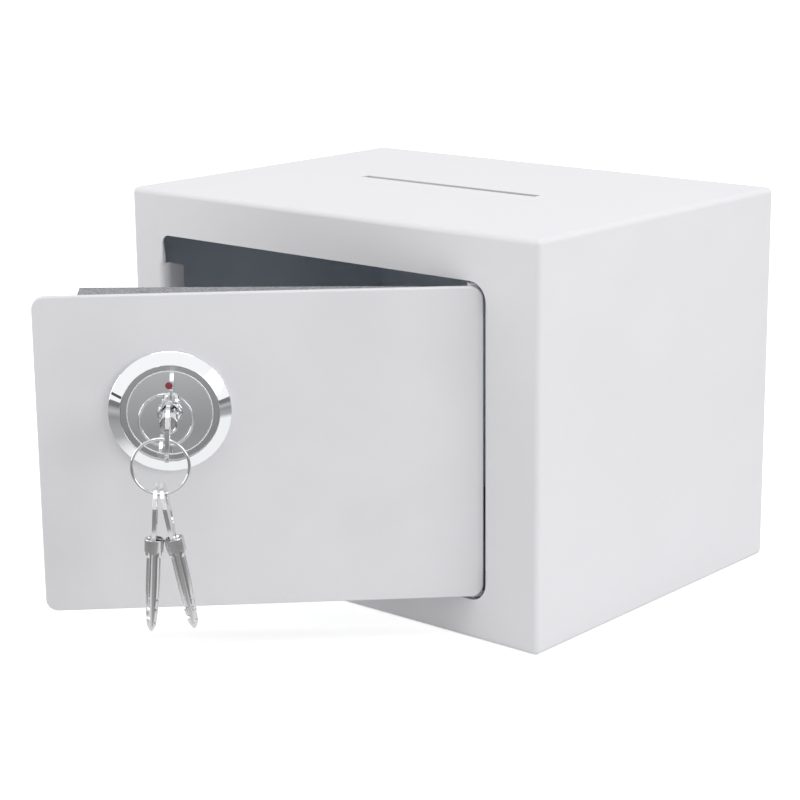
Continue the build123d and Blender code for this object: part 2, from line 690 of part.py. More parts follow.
def cam_pin_place():
    """The X and Z of the cam's pin with the bolt drawn back."""
    angle = math.radians(CAM_PIN_START)
    return LOCK_X + CAM_PIN_ORBIT * math.cos(angle), LOCK_Z + CAM_PIN_ORBIT * math.sin(angle)


def make_cam():
    """The disc on the plug's tail that carries the drive pin."""
    x, z = cam_pin_place()
    half = CAM_SQUARE / 2 + SEAT_GAP
    disc = rod_y(CAM_RADIUS, PLUG_END, CAM_END, LOCK_X, LOCK_Z)
    square = block(LOCK_X - half, LOCK_X + half, deep(PLUG_END), deep(CAM_END), LOCK_Z - half, LOCK_Z + half)
    return disc - square - rod_y(CAM_PIN_RADIUS + SEAT_GAP, PLUG_END - 1, CAM_END + 1, x, z)


def make_cam_pin():
    """The pin that works the bolt carrier."""
    x, z = cam_pin_place()
    return rod_y(CAM_PIN_RADIUS, PLUG_END, CARRIER_BACK + CAM_PIN_REACH, x, z)


def make_cam_nut():
    """The nut that holds the cam on its square."""
    nut = hex_y(CAM_NUT_ACROSS, CAM_END, CAM_END + CAM_NUT_HEIGHT, LOCK_X, LOCK_Z)
    return nut - rod_y(STUB_RADIUS + SEAT_GAP, CAM_END - 1, STUB_END + 1, LOCK_X, LOCK_Z)


# Boltwork


def post_points():
    """Where the guide posts stand, as X and Z."""
    return [(LOCK_X - POST_LEFT_OF_LOCK, BOLT_Z + height) for height in POST_HEIGHTS_ABOVE_BOLT]


def make_bolt_carrier():
    """The sliding plate between the cam's pin and the bolt."""
    x0 = LOCK_X - CARRIER_WIDTH / 2
    x1 = LOCK_X + CARRIER_WIDTH / 2
    y0 = deep(CARRIER_FRONT)
    y1 = deep(CARRIER_BACK)
    plate = block(x0, x1, y0, y1, BOLT_Z - CARRIER_BELOW_BOLT, LOCK_Z + CARRIER_ABOVE_LOCK)
    tongue = block(BOLT_X0 + BOLT_LENGTH - BOLT_SLOT + SEAT_GAP, x0, y0, y1,
                   BOLT_Z - CARRIER_TONGUE / 2, BOLT_Z + CARRIER_TONGUE / 2)
    carrier = fillet(plate.edges().filter_by(Axis.Y), CARRIER) + tongue
    pin_x, pin_z = cam_pin_place()
    half = CAM_PIN_RADIUS + YOKE_CLEARANCE
    yoke = block(pin_x - half, pin_x + half, y0, y1, pin_z - CAM_PIN_RADIUS - YOKE_END,
                 LOCK_Z + CAM_PIN_ORBIT + CAM_PIN_RADIUS + YOKE_END)
    cuts = [yoke, rod_y(RIVET_RADIUS + SEAT_GAP, 0, 2 * BOLT_FROM_FACE, rivet_x(), BOLT_Z)]
    for x, z in post_points():
        near = x - NECK_RADIUS - CLIP_PLAY
        far = x + BOLT_THROW + NECK_RADIUS + CLIP_PLAY
        cuts.append(block(near, far, y0, y1, z - NECK_RADIUS - CARRIER_GAP, z + NECK_RADIUS + CARRIER_GAP))
    return cut_all(carrier, cuts)


def rivet_x():
    """The X of the rivet through the bolt and the carrier's tongue."""
    return BOLT_X0 + BOLT_LENGTH - BOLT_SLOT / 2


def make_locking_bolt():
    """The round bolt, slotted at its inner end for the carrier."""
    y = deep(BOLT_FROM_FACE)
    end = BOLT_X0 + BOLT_LENGTH
    bolt = rod_x(BOLT_RADIUS, BOLT_X0, end, y, BOLT_Z)
    bolt = chamfer(bolt.edges().filter_by(GeomType.CIRCLE).sort_by(Axis.X)[0], BOLT_CHAMFER)
    half = CARRIER / 2 + SEAT_GAP
    slot = block(end - BOLT_SLOT, end + 1, y - half, y + half, BOLT_Z - BOLT_RADIUS, BOLT_Z + BOLT_RADIUS)
    return bolt - slot - rod_y(RIVET_RADIUS + SEAT_GAP, 0, 2 * BOLT_FROM_FACE, rivet_x(), BOLT_Z)


def make_bolt_rivet():
    """The rivet through the bolt's slot."""
    half = BOLT_RADIUS - RIVET_SHORT
    return rod_y(RIVET_RADIUS, BOLT_FROM_FACE - half, BOLT_FROM_FACE + half, rivet_x(), BOLT_Z)


def make_guide_posts():
    """Shouldered posts on the plate that the carrier slides on."""
    shoulder = CARRIER_FRONT - CARRIER_GAP
    groove = CARRIER_BACK + CLIP_PLAY
    posts = []
    for x, z in post_points():
        post = rod_y(POST_RADIUS, PLATE, shoulder, x, z)
        post = post + rod_y(NECK_RADIUS, shoulder, groove, x, z)
        post = post + rod_y(POST_GROOVE_RADIUS, groove, groove + POST_GROOVE, x, z)
        tail = groove + POST_GROOVE
        posts.append(post + rod_y(NECK_RADIUS, tail, tail + POST_TAIL, x, z))
    return posts


def make_guide_clips():
    """Open clips in the grooves of the guide posts."""
    start = CARRIER_BACK + CLIP_PLAY + SEAT_GAP
    end = start + POST_GROOVE - 2 * SEAT_GAP
    clips = []
    for x, z in post_points():
        disc = rod_y(CLIP_RADIUS, start, end, x, z) - rod_y(POST_GROOVE_RADIUS + SEAT_GAP, start, end, x, z)
        mouth = block(x - CLIP_MOUTH / 2, x + CLIP_MOUTH / 2, deep(start), deep(end), z - 2 * CLIP_RADIUS, z)
        clips.append(disc - mouth)
    return clips


def make_bolt_guide():
    """The welded angle that the bolt runs through."""
    x0 = PAN_X0 + PAN_SHEET + GUIDE_GAP
    x1 = x0 + GUIDE_PLATE
    end = deep(pan_depth(x1) - PAN_SHEET - GUIDE_GAP)
    z0 = BOLT_Z - GUIDE_HEIGHT / 2
    z1 = BOLT_Z + GUIDE_HEIGHT / 2
    angle = block(x0, x1, PLATE_BACK, end, z0, z1)
    angle = angle + block(x1, x1 + GUIDE_FOOT, PLATE_BACK, PLATE_BACK + CARRIER, z0, z1)
    return angle - rod_x(BOLT_RADIUS + BOLT_RUNNING, x0 - 1, x1 + 1, deep(BOLT_FROM_FACE), BOLT_Z)


# Keys, drawn along Z with the tip at the origin and the bow in the XZ plane


def key_cross(half_span, z0, z1):
    """A cross shaped bar, its fins turned from the plane of the bow."""
    fins = Box(2 * half_span, KEY_FIN, z1 - z0) + Box(KEY_FIN, 2 * half_span, z1 - z0)
    bar = fins + Cylinder(KEY_CORE, z1 - z0)
    return Pos(0, 0, (z0 + z1) / 2) * Rot(0, 0, KEY_FIN_TURN) * bar


def key_notches():
    """V notches in the edges of the four fins."""
    half = KEY_SPAN / 2
    cuts = []
    for z, cut in zip(KEY_NOTCHES, KEY_NOTCH_DEPTHS):
        vee = make_face(Polyline((half + 1, z - KEY_NOTCH_WIDTH), (half + 1, z + KEY_NOTCH_WIDTH),
                                 (half - cut, z), close=True))
        prism = extrude(Plane.XZ * vee, KEY_FIN, both=True)
        cuts += [Rot(0, 0, angle + KEY_FIN_TURN) * prism for angle in QUARTERS]
    return cuts


def key_taper():
    """The round outline that narrows the blade to a blunt point."""
    outer = math.hypot(KEY_SPAN, KEY_FIN) / 2
    side = Polyline((0, 0), (KEY_TIP_RADIUS, 0), (KEY_POINT_RADIUS, KEY_POINT), (outer, KEY_TOOTHED),
                    (outer, KEY_BLADE), (0, KEY_BLADE), close=True)
    return revolve(Plane.XZ * make_face(side), Axis.Z)


def make_key_shank():
    """The cross blade and its round collar, slotted for the bow."""
    blade = cut_all(key_cross(KEY_SPAN / 2, 0, KEY_BLADE), key_notches())
    blade = blade & key_taper()
    collar = rod_z(KEY_COLLAR_RADIUS, KEY_BLADE, KEY_BLADE + KEY_COLLAR, 0, 0)
    rims = collar.edges().filter_by(GeomType.CIRCLE)
    shank = blade + chamfer(rims, KEY_FIN / 4)
    half = BOW_THICKNESS / 2 + SEAT_GAP
    top = KEY_BLADE + KEY_COLLAR
    tang = BOW_TANG / 2 + SEAT_GAP
    return shank - block(-tang, tang, -half, half, top - BOW_SUNK, top + 1)


def make_key_bow():
    """The flat stamped bow, with a ring hole, a sunk panel and a tang."""
    start = KEY_BLADE + KEY_COLLAR
    middle = start + BOW_LENGTH / 2
    outline = Pos(0, middle) * RectangleRounded(BOW_WIDTH, BOW_LENGTH, BOW_CORNER)
    tang = Pos(0, start - BOW_SUNK / 2 + BOW_TANG / 4) * Rectangle(BOW_TANG, BOW_SUNK + BOW_TANG / 2)
    hole = Pos(0, KEY_BOW_HOLE) * Circle(BOW_HOLE_RADIUS)
    bow = extrude(Plane.XZ * (outline + tang - hole), BOW_THICKNESS / 2, both=True)
    panel_z = KEY_BOW_HOLE - BOW_HOLE_RADIUS - BOW_PANEL_CORNER / 2 - BOW_PANEL_LENGTH / 2
    panel = RectangleRounded(BOW_PANEL_WIDTH, BOW_PANEL_LENGTH, BOW_PANEL_CORNER)
    sunk = extrude(Plane.XZ * (Pos(0, panel_z) * panel), BOW_PANEL_DEPTH, both=True)
    for side in (-1, 1):
        bow = bow - Pos(0, side * BOW_THICKNESS / 2, 0) * sunk
    return bow


def into_lock(shape):
    """Puts a key in the lock, its bow upright and square to the door."""
    return Pos(LOCK_X, deep(KEY_TIP), LOCK_Z) * Rot(90, 0, 0) * Rot(0, 0, 90 - KEY_PLAY_TURN) * shape


def onto_ring(shape, index):
    """Hangs a spare key on the bottom of the ring."""
    shift = SPARE_SHIFTS[index]
    drop = math.sqrt(RING_RADIUS ** 2 - shift ** 2) + RING_HANG
    hung = Rot(0, 0, 90) * Pos(0, 0, -KEY_BOW_HOLE) * shape
    place = Pos(RING_X + shift, deep(KEY_HOLE_DEPTH), RING_Z - drop)
    return place * Rot(0, -SPARE_TILTS[index], 0) * hung


def make_key_ring():
    """The round wire ring through the bow of the key in the lock."""
    return Pos(RING_X, deep(KEY_HOLE_DEPTH), RING_Z) * Rot(90, 0, 0) * Torus(RING_RADIUS, RING_WIRE)


def swing(shape):
    """Turns a piece of the closed door to the open door's place."""
    hinge = Axis((HINGE_X, HINGE_Y, 0), (0, 0, 1))
    if isinstance(shape, list):
        return [piece.rotate(hinge, DOOR_OPEN_ANGLE) for piece in shape]
    return shape.rotate(hinge, DOOR_OPEN_ANGLE)


def save(name, shape):
    """Writes one sub-part, a single solid or a group of like solids."""
    if isinstance(shape, list):
        shape = Compound(children=[Solid(piece.solids()[0].wrapped) for piece in shape])
    export_step(shape, f"parts/{name}.step")


def main():
    os.makedirs("parts", exist_ok=True)
    save("body_shell", make_body_shell())
    save("back_panel", make_back_panel())
    save("floor_mat", make_floor_mat())
    save("upper_hinge_bracket", make_hinge_bracket(True))
    save("lower_hinge_bracket", make_hinge_bracket(False))
    save("hinge_washers", make_hinge_washers())
    save("door_stops", make_door_stops())

    save("door_plate", swing(make_door_plate()))
    save("hinge_blocks", swing(make_hinge_blocks()))
    save("upper_hinge_pin", swing(make_hinge_pin(True)))
    save("lower_hinge_pin", swing(make_hinge_pin(False)))
    save("door_pan", swing(make_door_pan()))
    save("pan_studs", swing(make_pan_studs()))
    save("pan_nuts", swing(make_pan_nuts()))
    save("lock_bezel", swing(make_lock_bezel()))
    save("index_mark", swing(make_index_mark()))
    save("lock_housing", swing(make_lock_housing()))
    save("lock_nut", swing(make_lock_nut()))
    save("lock_sleeve", swing(make_lock_sleeve()))
    save("driver_pins", swing(make_driver_pins()))
    save("pin_springs", swing(make_pin_springs()))
    save("guide_posts", swing(make_guide_posts()))
    save("guide_clips", swing(make_guide_clips()))
    save("bolt_guide", swing(make_bolt_guide()))

    save("plug", swing(make_plug()))
    save("key_pins", swing(make_key_pins()))
    save("dial", swing(make_dial()))
    save("dial_dot", swing(make_dial_dot()))
    save("cam", swing(make_cam()))
    save("cam_pin", swing(make_cam_pin()))
    save("cam_nut", swing(make_cam_nut()))

    save("bolt_carrier", swing(make_bolt_carrier()))
    save("locking_bolt", swing(make_locking_bolt()))
    save("bolt_rivet", swing(make_bolt_rivet()))

    save("key_shank_1", swing(into_lock(make_key_shank())))
    save("key_bow_1", swing(into_lock(make_key_bow())))
    save("key_ring", swing(make_key_ring()))
    for index in range(len(SPARE_SHIFTS)):
        save(f"key_shank_{index + 2}", swing(onto_ring(make_key_shank(), index)))
        save(f"key_bow_{index + 2}", swing(onto_ring(make_key_bow(), index)))


main()
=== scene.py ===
import json
import math

import bmesh
import bpy
from mathutils import Matrix, Vector

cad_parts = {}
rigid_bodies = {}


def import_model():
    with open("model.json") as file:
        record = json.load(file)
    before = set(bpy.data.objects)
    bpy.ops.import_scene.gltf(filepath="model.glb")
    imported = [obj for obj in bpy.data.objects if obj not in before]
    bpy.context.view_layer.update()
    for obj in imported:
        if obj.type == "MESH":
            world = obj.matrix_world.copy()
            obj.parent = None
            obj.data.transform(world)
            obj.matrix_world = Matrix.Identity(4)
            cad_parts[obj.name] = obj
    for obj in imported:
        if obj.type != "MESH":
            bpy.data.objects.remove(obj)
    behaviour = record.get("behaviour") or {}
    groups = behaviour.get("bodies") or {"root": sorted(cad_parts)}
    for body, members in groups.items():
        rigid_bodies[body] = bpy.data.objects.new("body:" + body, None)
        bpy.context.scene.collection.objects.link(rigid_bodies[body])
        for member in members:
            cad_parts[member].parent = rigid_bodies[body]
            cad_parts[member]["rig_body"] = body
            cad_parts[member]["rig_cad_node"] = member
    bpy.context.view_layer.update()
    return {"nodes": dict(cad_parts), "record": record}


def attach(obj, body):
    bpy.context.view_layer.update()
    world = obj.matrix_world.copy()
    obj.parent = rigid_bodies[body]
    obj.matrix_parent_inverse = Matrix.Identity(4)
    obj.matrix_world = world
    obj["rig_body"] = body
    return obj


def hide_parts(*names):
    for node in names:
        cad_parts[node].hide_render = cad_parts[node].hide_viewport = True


# A light grey deposit safe with its door half open and a key in its lock.
# Lengths are millimetres, and MM turns them to the metres that the scene is built in.
MM = 0.001
PICTURE = 800

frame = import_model()

SLOTS = {row["node"]: row["material_slot"] for row in frame["record"]["subparts"]}

# Cabinet
CABINET_WIDTH = 230.0
CABINET_DEPTH = 170.0
CABINET_HEIGHT = 170.0
SHEET = 1.5
JAMB_DEPTH = 13.0

# Door and the lock's place on it, as they stand in the CAD model when the door is shut
DOOR_TURN = math.radians(45)
HINGE = Vector((80.3, -81.6, 0))
DOOR_FACE = -86.8
LOCK_X = -41.5
LOCK_Z = 101.3
PLATE_X = (-94.0, 83.3)
PLATE_Z = (19.0, 148.0)
PLATE = 3.0
DOOR_CORNER = 5.0
DOOR_EDGE = 0.6
LOCK_BORE = 12.7

# Lock: radii, and heights above the door's face
BEZEL_RADIUS = 24.4
BEZEL_BORE = 12.52
BEZEL_SEAT = 1.0
BEZEL_HEIGHT = 5.6
BEZEL_EDGE = 2.1
LIP_RADIUS = 19.6
LIP_FOOT = 4.3
BAND_RADIUS = 19.3
BAND_BACK = 2.2
BAND_PLAY = 0.02
DIAL_RADIUS = 17.1
DIAL_BACK = 2.1
DIAL_FACE = 4.2
DIAL_RIM = 0.5
DIAL_PLAY = 0.06
NOSE_RADIUS = 4.92
NOSE_EDGE = 0.15
BEAD_OUTSIDE = 0.05
MARK_ANGLE = math.radians(160)
MARK_SIZE = (5.2, 1.1, 0.5)
MARK_PROUD = 0.08
MARK_EDGE = 0.04
DOT_RADIUS = 1.45
DOT_HEIGHT = 11.0

# How far inside its two ends the bezel's slope starts and stops
SLOPE_START = 0.2
SLOPE_STOP = 0.25
# Small round shapes of the lock, as steps outwards and up from the corner that each one breaks
BEZEL_FOOT = ((0, -0.15), (-0.05, -0.03))
BEZEL_LIP = ((0.1, -0.11), (-0.05, -0.07), (-0.18, -0.12), (-0.24, -0.25))
BEAD = ((-0.5, -0.35), (0, -0.35), (0, -0.05), (-0.08, 0.08), (-0.25, 0.14), (-0.42, 0.08), (-0.5, -0.05))
# The red dot's dome, as shares of its radius and steps up from the dial's face
DOT_DOME = ((1, -0.4), (1, 0), (0.9, 0.05), (0.6, 0.09), (0.2, 0.1))

# Key, from its tip
KEY_FIN = 1.5
KEY_BLADE = 31.0
KEY_HALF_SPAN = 3.1
KEY_EDGE = 0.06
COLLAR_RADIUS = 3.8
COLLAR = 6.5
COLLAR_TOP = KEY_BLADE + COLLAR
CUP_DEPTH = 1.3
BOW_SIZE = (22.0, 1.6, 21.5)
BOW_CORNER = 8.0
BOW_EDGE = 0.22
BOW_HOLE = 2.6
BOW_HOLE_FROM_END = 5.5
HOLE_ALONG_KEY = COLLAR_TOP + BOW_SIZE[2] - BOW_HOLE_FROM_END
PANEL_WIDTH = 14.0
PANEL_LENGTH = 8.0
PANEL_DEPTH = 0.3
PANEL_CORNER = 3.0
PANEL_FROM_COLLAR = 3.4
TANG_WIDTH = 6.6
TANG_IN_COLLAR = 3.7
TANG_IN_BOW = 1.5
TANG_EDGE = 0.12
KEY_TIP_DEPTH = 14.3
KEY_PLAY_TURN = 3.0

# The key's turned shape: half spans and heights at the point, then steps from the collar's two ends
KEY_POINT = ((0.3, 0), (0.7, 0.3), (1.9, 2.6), (2.5, 7), (2.85, 12), (KEY_HALF_SPAN, 17))
COLLAR_FOOT = ((KEY_HALF_SPAN - COLLAR_RADIUS, -0.8), (-0.45, -0.1), (-0.15, 0.15), (0, 0.5))
COLLAR_CUP = ((0, -0.35), (-0.12, -0.1), (-0.35, 0), (-0.6, -0.08), (-0.75, -0.3), (-0.9, -CUP_DEPTH),
              (-1.3, -CUP_DEPTH - 0.15))

# The key's flutes and notches. Each notch: its height, its depth, and which of the four fins it is in
FIN_TURN = 45
FLUTE_END = 34.3
FLUTE_ROOT = 1.3
FLUTE_WIDTH = 4.0
TONGUE_RADIUS = 2.5
TONGUE_LOW = 31.9
NOTCHES = ((3.1, 1.7, 0), (3.6, 1.6, 2), (5.6, 1.5, 1), (6.0, 1.6, 3), (6.9, 1.3, 0), (9.0, 1.2, 2),
           (9.4, 1.3, 1), (10.4, 1.2, 0), (12.6, 0.9, 3), (13.1, 0.8, 2))
NOTCH_SPREAD = 1.1
NOTCH_WIDTH = 4.0
# Cross cuts that keep the long faces' shading apart from the notches
SPLIT_HEIGHTS = (14.7, 22.0, 29.8)

# Key ring, and how the spare keys hang on it
RING_RADIUS = 10.9
RING_WIRE = 0.6
RING_HANG = 1.65
RING_SHIFT = -3.0
RING_TURN = 70
SEAM_WIDTH = 0.06
SEAM_PINCH = 0.85
SPARE_SHIFTS = (-2.3, 1.1)
SPARE_TILTS = (-3.9, 10.5)

# How far a cutter reaches to either side where it goes right through, and past an open end
THROUGH = 9.0
OVERCUT = 1.0
# How far off a line or a face a point may be and still be on it, and how near two points are one
SLACK = 0.01
WELD = 0.002
CAD_WELD = 0.001


# Colours and nodes

# Where a colour Mix node has its two colours and its result
FIRST_COLOUR = 6
SECOND_COLOUR = 7
MIXED_COLOUR = 2
# The range that nearly all of a noise's values lie in
NOISE_ENDS = (0.3, 0.7)


def linear(code):
    """An sRGB hex colour as linear RGBA."""
    parts = [int(code[i:i + 2], 16) / 255 for i in (1, 3, 5)]
    return tuple(p / 12.92 if p <= 0.04045 else ((p + 0.055) / 1.055) ** 2.4 for p in parts) + (1,)


def grey(level):
    """A linear grey as RGBA."""
    return (level, level, level, 1)


def add_node(tree, kind, values=None, links=None, **settings):
    """Adds a node with its settings, its values and what is linked into it."""
    made = tree.nodes.new(kind)
    for name, value in settings.items():
        setattr(made, name, value)
    for name, value in (values or {}).items():
        made.inputs[name].default_value = value
    for name, socket in (links or {}).items():
        tree.links.new(socket, made.inputs[name])
    return made


def start_material(name, values):
    """A material with one shader. Gives the material, its tree, its shader and its Object coordinates."""
    material = bpy.data.materials.new(name)
    material.use_nodes = True
    tree = material.node_tree
    tree.nodes.clear()
    shader = add_node(tree, "ShaderNodeBsdfPrincipled", values=values)
    add_node(tree, "ShaderNodeOutputMaterial", links={"Surface": shader.outputs["BSDF"]})
    place = add_node(tree, "ShaderNodeTexCoord").outputs["Object"]
    return material, tree, shader, place


def mottle(tree, place, size, colours, detail=3, roughness=0.5, ends=(0, 1)):
    """A colour that drifts between two hex colours in lumps about size metres across.

    The ends are the lumps' values at which the colours are pure. Gives the colour and the lumps.
    """
    lumps = add_node(tree, "ShaderNodeTexNoise",
                     values={"Scale": 1 / size, "Detail": detail, "Roughness": roughness},
                     links={"Vector": place}).outputs["Fac"]
    share = add_node(tree, "ShaderNodeMapRange", values={"From Min": ends[0], "From Max": ends[1]},
                     links={"Value": lumps})
    mixed = add_node(tree, "ShaderNodeMix", data_type="RGBA",
                     values={FIRST_COLOUR: linear(colours[0]), SECOND_COLOUR: linear(colours[1])},
                     links={"Factor": share.outputs["Result"]})
    return mixed.outputs[MIXED_COLOUR], lumps


def vary_roughness(tree, shader, lumps, ends):
    """Lets a shader's roughness drift with the lumps from one value to another."""
    rough = add_node(tree, "ShaderNodeMapRange",
                     values={"From Min": NOISE_ENDS[0], "From Max": NOISE_ENDS[1],
                             "To Min": ends[0], "To Max": ends[1]},
                     links={"Value": lumps})
    tree.links.new(rough.outputs["Result"], shader.inputs["Roughness"])


# Materials

# The coat's droplets and their fine roughness are drawn about twice their real size, so that they show
COAT_GRAIN = 1.5 * MM
COAT_FINE = 0.55 * MM
COAT_RELIEF = 0.05 * MM
COAT_CLOUD = 45 * MM
COAT_ROUGH = (0.46, 0.56)
COAT_SHINE = 0.4
CABINET_COLOURS = ("#dedee1", "#e3e3e6")
# Painted shade tint: the inside has the same paint, coloured a little bluer for the cool shade there
SHADE_TINT_INSIDE_COLOURS = ("#dae1e9", "#dfe6ee")
# Painted shade: the door has the cabinet's paint, set a little darker to hold down the light on its face
DOOR_SHADED_COLOURS = ("#dadadd", "#dfdfe2")
PAN_COLOURS = ("#4c4d51", "#a4a5a9")
PAN_SPECKLE = 0.9 * MM
# The drift of a plated surface's haze, and the spacing of its waviness
HAZE = 6 * MM
WAVES = 1.2 * MM
# Felt fibres are a few hundredths of a millimetre thick, and are drawn coarse enough to show
FIBRES = 0.8 * MM
FIBRE_RELIEF = 0.3 * MM
FELT_COLOURS = ("#26292e", "#454a50")
ENAMEL_DEPTH = 1.5 * MM

# The box where a cool painted shade tint goes on the cabinet's coat, for the bluish shade inside; its
# limits lie inside the sheet, behind the jambs and inside the back
WITHIN_SHEET = SHEET - 0.1
BEHIND_JAMBS = JAMB_DEPTH + 1.1
WITHIN_BACK = 0.8
SHADE_TINT_BOX = ((WITHIN_SHEET - CABINET_WIDTH / 2, CABINET_WIDTH / 2 - WITHIN_SHEET),
             (BEHIND_JAMBS - CABINET_DEPTH / 2, CABINET_DEPTH / 2 - WITHIN_BACK),
             (WITHIN_SHEET, CABINET_HEIGHT - WITHIN_SHEET))


def coat_surface(tree, shader, place):
    """The leathery grain of a textured powder coat, from its hardened droplets."""
    droplets = add_node(tree, "ShaderNodeTexVoronoi", feature="SMOOTH_F1",
                        values={"Scale": 1 / COAT_GRAIN, "Smoothness": 0.7, "Randomness": 1.0},
                        links={"Vector": place})
    fine = add_node(tree, "ShaderNodeTexNoise",
                    values={"Scale": 1 / COAT_FINE, "Detail": 3, "Roughness": 0.6},
                    links={"Vector": place})
    height = add_node(tree, "ShaderNodeMath", operation="ADD",
                      links={0: droplets.outputs["Distance"], 1: fine.outputs["Fac"]})
    bump = add_node(tree, "ShaderNodeBump", values={"Strength": 0.5, "Distance": COAT_RELIEF},
                    links={"Height": height.outputs["Value"]})
    tree.links.new(bump.outputs["Normal"], shader.inputs["Normal"])
    cloud = add_node(tree, "ShaderNodeTexNoise", values={"Scale": 1 / COAT_CLOUD},
                     links={"Vector": place})
    vary_roughness(tree, shader, cloud.outputs["Fac"], COAT_ROUGH)


def powder_coat(name, colours, patch):
    """Steel with a polyester powder coat, textured: dull, with a fine leathery grain and a patchy depth."""
    material, tree, shader, place = start_material(name, {"Specular IOR Level": COAT_SHINE})
    coat_surface(tree, shader, place)
    colour, _ = mottle(tree, place, patch, colours, ends=NOISE_ENDS)
    tree.links.new(colour, shader.inputs["Base Color"])
    return material


def cabinet_coat():
    """The cabinet's powder coat: a light grey, with a painted cool shade tint within the inner box."""
    material, tree, shader, place = start_material("powder_coat_cabinet",
                                                   {"Specular IOR Level": COAT_SHINE})
    coat_surface(tree, shader, place)
    outside, _ = mottle(tree, place, COAT_CLOUD, CABINET_COLOURS)
    # The inside colours are a painted shade tint
    inside, _ = mottle(tree, place, COAT_CLOUD, SHADE_TINT_INSIDE_COLOURS)
    axes = add_node(tree, "ShaderNodeSeparateXYZ", links={"Vector": place})
    within = add_node(tree, "ShaderNodeValue").outputs["Value"]
    within.default_value = 1
    for axis, limits in zip("XYZ", SHADE_TINT_BOX):
        for side, limit in zip(("GREATER_THAN", "LESS_THAN"), limits):
            test = add_node(tree, "ShaderNodeMath", operation=side, values={1: limit * MM},
                            links={0: axes.outputs[axis]})
            within = add_node(tree, "ShaderNodeMath", operation="MULTIPLY",
                              links={0: within, 1: test.outputs["Value"]}).outputs["Value"]
    both = add_node(tree, "ShaderNodeMix", data_type="RGBA",
                    links={"Factor": within, FIRST_COLOUR: outside, SECOND_COLOUR: inside})
    tree.links.new(both.outputs[MIXED_COLOUR], shader.inputs["Base Color"])
    return material


def worked_metal(name, colours, roughness, wear, relief):
    """A plated or machined metal: bright, with a haze that drifts and a faint waviness of its face."""
    material, tree, shader, place = start_material(name, {"Metallic": 1.0})
    colour, haze = mottle(tree, place, HAZE, colours, detail=4, roughness=0.6)
    tree.links.new(colour, shader.inputs["Base Color"])
    vary_roughness(tree, shader, haze, (roughness, roughness + wear))
    waves = add_node(tree, "ShaderNodeTexNoise", values={"Scale": 1 / WAVES, "Detail": 3},
                     links={"Vector": place})
    bump = add_node(tree, "ShaderNodeBump", values={"Strength": 0.15, "Distance": relief},
                    links={"Height": waves.outputs["Fac"]})
    tree.links.new(bump.outputs["Normal"], shader.inputs["Normal"])
    return material


def felt_mat():
    """Needled polyester felt: dark, quite dull, with short tangled fibres."""
    material, tree, shader, place = start_material("needled_felt", {
        "Roughness": 0.95, "Specular IOR Level": 0.15, "Sheen Weight": 0.3, "Sheen Roughness": 0.6})
    colour, fibres = mottle(tree, place, FIBRES, FELT_COLOURS, detail=5, roughness=0.75)
    tree.links.new(colour, shader.inputs["Base Color"])
    bump = add_node(tree, "ShaderNodeBump", values={"Strength": 0.8, "Distance": FIBRE_RELIEF},
                    links={"Height": fibres})
    tree.links.new(bump.outputs["Normal"], shader.inputs["Normal"])
    return material


def enamel(name, colours, roughness):
    """Baked enamel in a recess: glassy and slightly uneven in depth of colour."""
    material, tree, shader, place = start_material(name, {"Roughness": roughness, "Coat Weight": 0.6})
    colour, _ = mottle(tree, place, ENAMEL_DEPTH, colours, detail=2)
    tree.links.new(colour, shader.inputs["Base Color"])
    return material


coat = cabinet_coat()
# The door's coat is a darker copy of the cabinet's, as painted shade
shaded_door_coat = powder_coat("powder_coat_door_shaded", DOOR_SHADED_COLOURS, COAT_CLOUD)
# The pan's coat is speckled: dark, with pale grains
pan_coat = powder_coat("powder_coat_pan", PAN_COLOURS, PAN_SPECKLE)
# Buffed before plating, so a hard mirror
chrome = worked_metal("polished_chrome", ("#f3f4f6", "#f7f8fa"), 0.03, 0.02, 0.0002 * MM)
# Plated over a fine blasted face, so soft and grey
satin_chrome = worked_metal("satin_chrome", ("#d3d4d6", "#d9dadc"), 0.12, 0.05, 0.0005 * MM)
# Turned with a fine tool under the plating, so pale from every side
frosted_rim = worked_metal("frosted_rim", ("#f6f6f7", "#fbfbfc"), 0.45, 0.05, 0.0005 * MM)
# Tumbled and plated, so bright with soft reflections
nickel = worked_metal("nickel_plate", ("#d2d2d3", "#dededf"), 0.08, 0.06, 0.001 * MM)
# Plated straight onto pressed steel, so a dull blue grey
zinc = worked_metal("bright_zinc", ("#a9acb0", "#b9bcc0"), 0.3, 0.12, 0.02 * MM)
# Turned and left bare, so yellow with a fine dull grain
brass = worked_metal("machined_brass", ("#b9964f", "#c7a55f"), 0.25, 0.1, 0.02 * MM)
felt = felt_mat()
red_enamel = enamel("red_enamel", ("#7d2230", "#8f2c3b"), 0.2)
black_enamel = enamel("black_enamel", ("#141416", "#1d1d20"), 0.35)

SLOT_MATERIALS = {
    "cabinet_paint": coat, "door_paint": shaded_door_coat, "mat_felt": felt, "zinc_steel": zinc,
    "lock_brass": brass, "chrome": chrome, "red_mark": red_enamel, "nickel_steel": nickel,
    "black_mark": black_enamel,
}
NODE_MATERIALS = {"door_pan": pan_coat, "plug": satin_chrome}


# Pieces

# The angle, in degrees, past which an edge of a CAD node stays sharp
CAD_SHARP = 35


def finish_piece(piece, body, material, replaced=()):
    """Gives a piece its material, its body and the nodes that it stands for."""
    piece.data.materials.clear()
    piece.data.materials.append(material)
    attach(piece, body)
    if replaced:
        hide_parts(*replaced)


def select_only(piece):
    """Selects one object and nothing else."""
    bpy.ops.object.select_all(action="DESELECT")
    piece.select_set(True)
    bpy.context.view_layer.objects.active = piece


